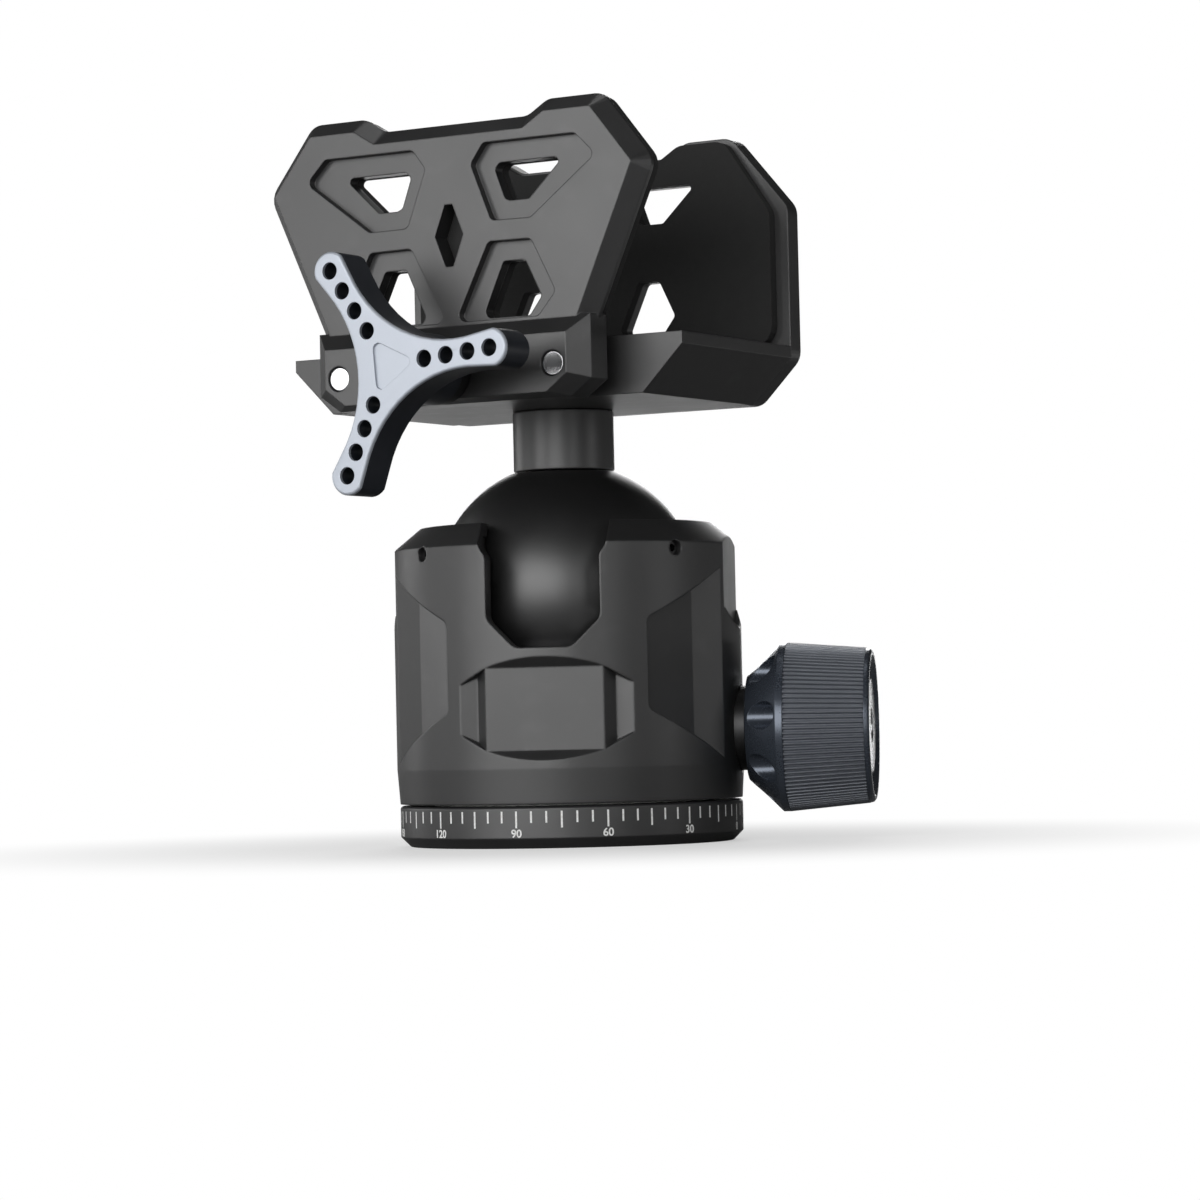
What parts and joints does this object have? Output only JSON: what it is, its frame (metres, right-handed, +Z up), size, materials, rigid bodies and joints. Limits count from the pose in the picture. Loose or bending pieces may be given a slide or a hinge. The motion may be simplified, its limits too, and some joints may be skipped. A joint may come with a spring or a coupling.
{
  "type": "tripod ball head with vise clamp",
  "caption": "Tripod ball head: notched round housing on a panning degree base, lock knob with inner tension dial, and a padded vise saddle on the ball stem that a lobed knob closes.",
  "frame": {"origin": "middle of the face that sits on the tripod, on the tripod thread's axis", "axes": "+Z up along the pan axis, +X along the jaws, -Y toward the clamp knob, with the lock knob at +X turned 23 degrees toward +Y"},
  "size_m": [0.1087, 0.113, 0.1461],
  "materials": {
    "black_anodised": "satin black anodised",
    "slate_anodised": "satin slate anodised",
    "grip_anodised": "fine ribs, slate anodised",
    "silver_anodised": "blue grey anodised with bright edges",
    "bare_aluminium": "machined",
    "steel": "machined",
    "bright_steel": "polished",
    "black_steel": "black oxide",
    "brass": "machined",
    "white_acetal": "plain",
    "black_acetal": "plain",
    "pad_rubber": "matt"
  },
  "bodies": {
    "base": {"base_plate": "black_anodised", "dial_ring": "black_anodised", "thread_bush": "steel", "pan_washer": "white_acetal", "pan_retainer": "steel", "retainer_screws": "steel"},
    "housing": {"housing": "black_anodised", "bottom_cover": "black_anodised", "slip_washer": "white_acetal", "ball_race": "black_acetal", "race_screws": "black_steel", "cup_spring": "steel", "lock_bush": "black_steel", "pan_pad": "brass"},
    "cup": {"lower_cup": "bare_aluminium"},
    "wedge": {"lock_wedge": "brass"},
    "lock": {"lock_knob": "slate_anodised", "knob_grip": "grip_anodised", "lock_shaft": "steel", "knob_pin": "steel"},
    "tension": {"tension_dial": "bright_steel", "tension_screw": "steel"},
    "pan_lock": {"pan_knob": "slate_anodised", "pan_screw": "steel"},
    "liner": {"seat_liner": "white_acetal"},
    "ball": {"ball": "black_anodised"},
    "saddle": {"stem": "black_anodised", "saddle_base": "black_anodised", "saddle_screws": "black_steel", "lead_nut": "brass", "rod_bushes": "brass", "rear_jaw": "black_anodised", "rear_pad": "pad_rubber", "rear_jaw_screws": "black_steel"},
    "jaw": {"front_jaw": "black_anodised", "front_pad": "pad_rubber", "guide_rods": "bright_steel"},
    "clamp": {"clamp_knob": "silver_anodised", "lead_screw": "steel", "thrust_washer": "black_steel", "screw_clip": "steel"}
  },
  "joints": [
    {"name": "pan", "type": "hinge", "parent": "base", "child": "housing", "pos_m": [0, 0, 0.0083], "axis": [0, 0, 1], "continuous": true},
    {"name": "lock_turn", "type": "hinge", "parent": "housing", "child": "lock", "pos_m": [0, 0, 0.0227], "axis": [0.9205, 0.3907, 0], "range_deg": [0, 289]},
    {"name": "wedge_draw", "type": "slide", "parent": "housing", "child": "wedge", "axis": [0.9205, 0.3907, 0], "range_m": [0, 0.0012]},
    {"name": "cup_drop", "type": "slide", "parent": "housing", "child": "cup", "axis": [0, 0, -1], "range_m": [0, 0.00044]},
    {"name": "tension_turn", "type": "hinge", "parent": "lock", "child": "tension", "pos_m": [0, 0, 0.0227], "axis": [0.9205, 0.3907, 0], "range_deg": [0, 300]},
    {"name": "pan_lock_turn", "type": "hinge", "parent": "housing", "child": "pan_lock", "pos_m": [0, 0, 0.01215], "axis": [-0.3907, 0.9205, 0], "range_deg": [0, 360]},
    {"name": "side_tilt", "type": "hinge", "parent": "housing", "child": "liner", "pos_m": [0, 0, 0.051], "axis": [0.3907, -0.9205, 0], "range_deg": [-25, 25]},
    {"name": "fore_tilt", "type": "hinge", "parent": "liner", "child": "ball", "pos_m": [0, 0, 0.051], "axis": [0.9205, 0.3907, 0], "range_deg": [-25, 88]},
    {"name": "swivel", "type": "hinge", "parent": "ball", "child": "saddle", "pos_m": [0, 0, 0.051], "axis": [0, 0, 1], "continuous": true},
    {"name": "jaw_slide", "type": "slide", "parent": "saddle", "child": "jaw", "axis": [0, 1, 0], "range_m": [-0.025, 0.0045]},
    {"name": "clamp_turn", "type": "hinge", "parent": "jaw", "child": "clamp", "pos_m": [0, 0, 0.0939], "axis": [0, 1, 0], "range_deg": [-1501, 271]}
  ],
  "couplings": [
    {"joint": "lock_turn", "follows": "wedge_draw", "rad_per_m": 4188.8},
    {"joint": "cup_drop", "follows": "wedge_draw", "ratio": 0.36397},
    {"joint": "clamp_turn", "follows": "jaw_slide", "rad_per_m": 1047.2}
  ]
}
